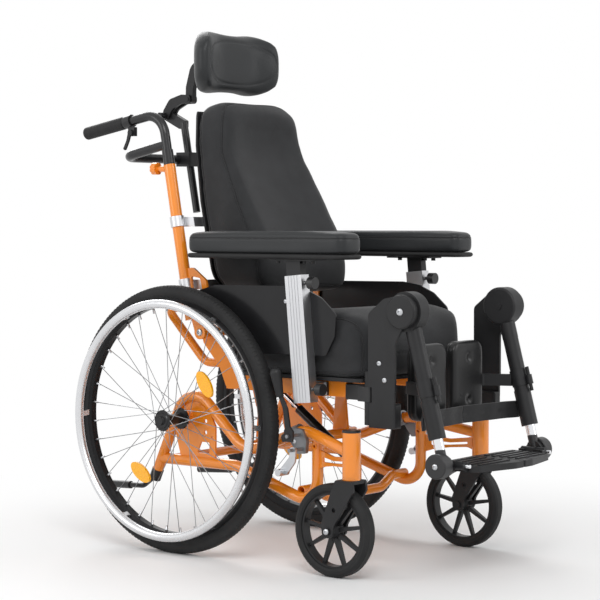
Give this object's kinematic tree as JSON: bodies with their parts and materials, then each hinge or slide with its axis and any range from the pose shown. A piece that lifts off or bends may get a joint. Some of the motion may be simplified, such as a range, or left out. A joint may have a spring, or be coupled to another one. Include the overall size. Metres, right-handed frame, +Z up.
{
  "type": "wheelchair",
  "caption": "Tilt-in-space wheelchair with an orange tube frame, reclining contoured back, winged headrest, sliding armrests and elevating legrests",
  "frame": {"origin": "on the floor, under the middle of the whole chair", "axes": "+X to the occupant's left, -Y forwards, +Z up"},
  "size_m": [0.596, 1.1089, 1.2],
  "materials": {
    "amber_reflector": "amber prism lens",
    "black_fabric": "black textile over foam",
    "black_paint": "satin black paint",
    "black_rubber": "ribbed rubber",
    "chrome": "bright chrome",
    "gloss_black": "smooth black plastic",
    "grey_casting": "grey cast finish",
    "hub_black": "black hub with dark spokes",
    "knurled_steel": "knurled steel",
    "moulded_black": "black moulded plastic",
    "orange_paint": "gloss orange paint",
    "rim_black": "black anodised",
    "silver_aluminium": "satin silver",
    "spring_black": "black gas spring",
    "tyre_rubber": "block tread rubber"
  },
  "bodies": {
    "base": {"side_frame_left": "orange_paint", "side_frame_right": "orange_paint", "base_cross_members": "orange_paint", "brake_mounts": "grey_casting", "tipping_levers": "black_paint"},
    "seat": {"seat_frame": "orange_paint", "seat_pan": "moulded_black", "seat_cushion": "black_fabric", "side_panels": "gloss_black", "armrest_sockets": "silver_aluminium"},
    "tilt_cylinder": {"tilt_spring_cylinder": "spring_black"},
    "tilt_rod": {"tilt_spring_rod": "chrome"},
    "back": {"back_frame": "orange_paint", "back_clamps": "silver_aluminium", "back_shell": "moulded_black", "back_cushion": "black_fabric"},
    "recline_cylinder": {"recline_spring_cylinder": "spring_black"},
    "recline_rod": {"recline_spring_rod": "chrome"},
    "handles": {"push_handles": "black_paint", "hand_grips": "black_rubber"},
    "head_post": {"headrest_post": "black_paint"},
    "head_lower_arm": {"headrest_lower_arm": "black_paint"},
    "head_upper_arm": {"headrest_upper_arm": "black_paint"},
    "head_pad": {"headrest_pad": "black_fabric"},
    "rear_wheel_left": {"rear_tyre_left": "tyre_rubber", "rear_rim_left": "rim_black", "rear_hub_left": "hub_black", "pushrim_left": "silver_aluminium", "reflectors_left": "amber_reflector"},
    "caster_fork_left": {"caster_fork_left": "moulded_black"},
    "caster_wheel_left": {"caster_tyre_left": "black_rubber", "caster_wheel_left": "moulded_black"},
    "brake_lever_left": {"brake_lever_left": "moulded_black"},
    "brake_shoe_left": {"brake_shoe_left": "knurled_steel"},
    "release_lever_left": {"release_lever_left": "moulded_black"},
    "armrest_left": {"armrest_post_left": "moulded_black", "armrest_pad_left": "black_fabric"},
    "hanger_left": {"legrest_hanger_left": "moulded_black"},
    "leg_left": {"leg_sleeve_left": "moulded_black"},
    "foot_tube_left": {"foot_tube_left": "chrome"},
    "footplate_left": {"footplate_left": "moulded_black"},
    "calf_pad_left": {"calf_pad_left": "moulded_black"},
    "rear_wheel_right": {"rear_tyre_right": "tyre_rubber", "rear_rim_right": "rim_black", "rear_hub_right": "hub_black", "pushrim_right": "silver_aluminium", "reflectors_right": "amber_reflector"},
    "caster_fork_right": {"caster_fork_right": "moulded_black"},
    "caster_wheel_right": {"caster_tyre_right": "black_rubber", "caster_wheel_right": "moulded_black"},
    "brake_lever_right": {"brake_lever_right": "moulded_black"},
    "brake_shoe_right": {"brake_shoe_right": "knurled_steel"},
    "release_lever_right": {"release_lever_right": "moulded_black"},
    "armrest_right": {"armrest_post_right": "moulded_black", "armrest_pad_right": "black_fabric"},
    "hanger_right": {"legrest_hanger_right": "moulded_black"},
    "leg_right": {"leg_sleeve_right": "moulded_black"},
    "foot_tube_right": {"foot_tube_right": "chrome"},
    "footplate_right": {"footplate_right": "moulded_black"},
    "calf_pad_right": {"calf_pad_right": "moulded_black"}
  },
  "joints": [
    {"name": "rear_wheel_spin_left", "type": "hinge", "parent": "base", "child": "rear_wheel_left", "pos_m": [0.246, 0.22593, 0.305], "axis": [1, 0, 0], "continuous": true},
    {"name": "caster_swivel_left", "type": "hinge", "parent": "base", "child": "caster_fork_left", "pos_m": [0.243, -0.28207, 0.211], "axis": [0, 0, 1], "continuous": true},
    {"name": "caster_spin_left", "type": "hinge", "parent": "caster_fork_left", "child": "caster_wheel_left", "pos_m": [0.243, -0.23706, 0.1], "axis": [1, 0, 0], "continuous": true},
    {"name": "brake_lever_left", "type": "hinge", "parent": "base", "child": "brake_lever_left", "pos_m": [0.252, -0.11907, 0.292], "axis": [1, 0, 0], "range_deg": [0, 50]},
    {"name": "brake_shoe_left", "type": "hinge", "parent": "base", "child": "brake_shoe_left", "pos_m": [0.252, -0.12607, 0.262], "axis": [1, 0, 0], "range_deg": [0, 20]},
    {"name": "rear_wheel_spin_right", "type": "hinge", "parent": "base", "child": "rear_wheel_right", "pos_m": [-0.246, 0.22593, 0.305], "axis": [1, 0, 0], "continuous": true},
    {"name": "caster_swivel_right", "type": "hinge", "parent": "base", "child": "caster_fork_right", "pos_m": [-0.243, -0.28207, 0.211], "axis": [0, 0, 1], "continuous": true},
    {"name": "caster_spin_right", "type": "hinge", "parent": "caster_fork_right", "child": "caster_wheel_right", "pos_m": [-0.243, -0.23706, 0.1], "axis": [1, 0, 0], "continuous": true},
    {"name": "brake_lever_right", "type": "hinge", "parent": "base", "child": "brake_lever_right", "pos_m": [-0.252, -0.11907, 0.292], "axis": [1, 0, 0], "range_deg": [0, 50]},
    {"name": "brake_shoe_right", "type": "hinge", "parent": "base", "child": "brake_shoe_right", "pos_m": [-0.252, -0.12607, 0.262], "axis": [1, 0, 0], "range_deg": [0, 20]},
    {"name": "seat_tilt", "type": "hinge", "parent": "base", "child": "seat", "pos_m": [0, 0.04593, 0.345], "axis": [-1, 0, 0], "range_deg": [0, 20]},
    {"name": "tilt_spring_swing", "type": "hinge", "parent": "base", "child": "tilt_cylinder", "pos_m": [0, -0.10407, 0.204], "axis": [-1, 0, 0], "range_deg": [0, 8]},
    {"name": "tilt_spring_stroke", "type": "slide", "parent": "tilt_cylinder", "child": "tilt_rod", "axis": [0, 0.8146, 0.5801], "range_m": [-0.018, 0]},
    {"name": "back_recline", "type": "hinge", "parent": "seat", "child": "back", "pos_m": [0, 0.18094, 0.503], "axis": [-1, 0, 0], "range_deg": [0, 30]},
    {"name": "recline_spring_swing", "type": "hinge", "parent": "seat", "child": "recline_cylinder", "pos_m": [0.046, -0.06606, 0.385], "axis": [-1, 0, 0], "range_deg": [-3, 3]},
    {"name": "recline_spring_stroke", "type": "slide", "parent": "recline_cylinder", "child": "recline_rod", "axis": [0, 0.9993, 0.0379], "range_m": [-0.06, 0]},
    {"name": "handle_height", "type": "slide", "parent": "back", "child": "handles", "axis": [0, 0.1855, 0.9827], "range_m": [0, 0.12]},
    {"name": "release_lever_left", "type": "hinge", "parent": "handles", "child": "release_lever_left", "pos_m": [0.2, 0.39877, 0.96178], "axis": [1, 0, 0], "range_deg": [0, 14], "stiffness_Nm_per_rad": 1, "springref_deg": -17.19},
    {"name": "release_lever_right", "type": "hinge", "parent": "handles", "child": "release_lever_right", "pos_m": [-0.2, 0.39877, 0.96178], "axis": [1, 0, 0], "range_deg": [0, 14], "stiffness_Nm_per_rad": 1, "springref_deg": -17.19},
    {"name": "headrest_height", "type": "slide", "parent": "handles", "child": "head_post", "axis": [0, 0.1892, 0.9819], "range_m": [0, 0.08]},
    {"name": "headrest_lower_joint", "type": "hinge", "parent": "head_post", "child": "head_lower_arm", "pos_m": [0, 0.47293, 1.012], "axis": [-1, 0, 0], "range_deg": [0, 30]},
    {"name": "headrest_upper_joint", "type": "hinge", "parent": "head_lower_arm", "child": "head_upper_arm", "pos_m": [0, 0.39793, 1.05], "axis": [-1, 0, 0], "range_deg": [0, 30]},
    {"name": "headrest_pad_joint", "type": "hinge", "parent": "head_upper_arm", "child": "head_pad", "pos_m": [0, 0.32393, 1.128], "axis": [-1, 0, 0], "range_deg": [-10, 20]},
    {"name": "armrest_height_left", "type": "slide", "parent": "seat", "child": "armrest_left", "axis": [0, 0.0945, 0.9955], "range_m": [0, 0.1]},
    {"name": "legrest_swing_left", "type": "hinge", "parent": "seat", "child": "hanger_left", "pos_m": [0.186, -0.28907, 0.323], "axis": [0, 0, 1], "range_deg": [0, 90]},
    {"name": "leg_elevation_left", "type": "hinge", "parent": "hanger_left", "child": "leg_left", "pos_m": [0.178, -0.38406, 0.566], "axis": [-1, 0, 0], "range_deg": [0, 70]},
    {"name": "foot_height_left", "type": "slide", "parent": "leg_left", "child": "foot_tube_left", "axis": [0, 0.2628, 0.9648], "range_m": [-0.06, 0.015]},
    {"name": "footplate_flip_left", "type": "hinge", "parent": "foot_tube_left", "child": "footplate_left", "pos_m": [0.156, -0.47107, 0.25], "axis": [0, 1, 0], "range_deg": [0, 90]},
    {"name": "calf_pad_tilt_left", "type": "hinge", "parent": "leg_left", "child": "calf_pad_left", "pos_m": [0.07, -0.35307, 0.402], "axis": [1, 0, 0], "range_deg": [-10, 10]},
    {"name": "armrest_height_right", "type": "slide", "parent": "seat", "child": "armrest_right", "axis": [0, 0.0945, 0.9955], "range_m": [0, 0.1]},
    {"name": "legrest_swing_right", "type": "hinge", "parent": "seat", "child": "hanger_right", "pos_m": [-0.186, -0.28907, 0.323], "axis": [0, 0, -1], "range_deg": [0, 90]},
    {"name": "leg_elevation_right", "type": "hinge", "parent": "hanger_right", "child": "leg_right", "pos_m": [-0.178, -0.38406, 0.566], "axis": [-1, 0, 0], "range_deg": [0, 70]},
    {"name": "foot_height_right", "type": "slide", "parent": "leg_right", "child": "foot_tube_right", "axis": [0, 0.2628, 0.9648], "range_m": [-0.06, 0.015]},
    {"name": "footplate_flip_right", "type": "hinge", "parent": "foot_tube_right", "child": "footplate_right", "pos_m": [-0.156, -0.47107, 0.25], "axis": [0, -1, 0], "range_deg": [0, 90]},
    {"name": "calf_pad_tilt_right", "type": "hinge", "parent": "leg_right", "child": "calf_pad_right", "pos_m": [-0.07, -0.35307, 0.402], "axis": [1, 0, 0], "range_deg": [-10, 10]}
  ],
  "couplings": [
    {"joint": "tilt_spring_swing", "follows": "seat_tilt", "ratio": 0.3674},
    {"joint": "tilt_spring_stroke", "follows": "seat_tilt", "m_per_rad": -0.038679},
    {"joint": "recline_spring_swing", "follows": "back_recline", "ratio": -0.049229},
    {"joint": "recline_spring_stroke", "follows": "back_recline", "m_per_rad": -0.108},
    {"joint": "brake_shoe_left", "follows": "brake_lever_left", "ratio": 0.4},
    {"joint": "brake_shoe_right", "follows": "brake_lever_right", "ratio": 0.4}
  ]
}
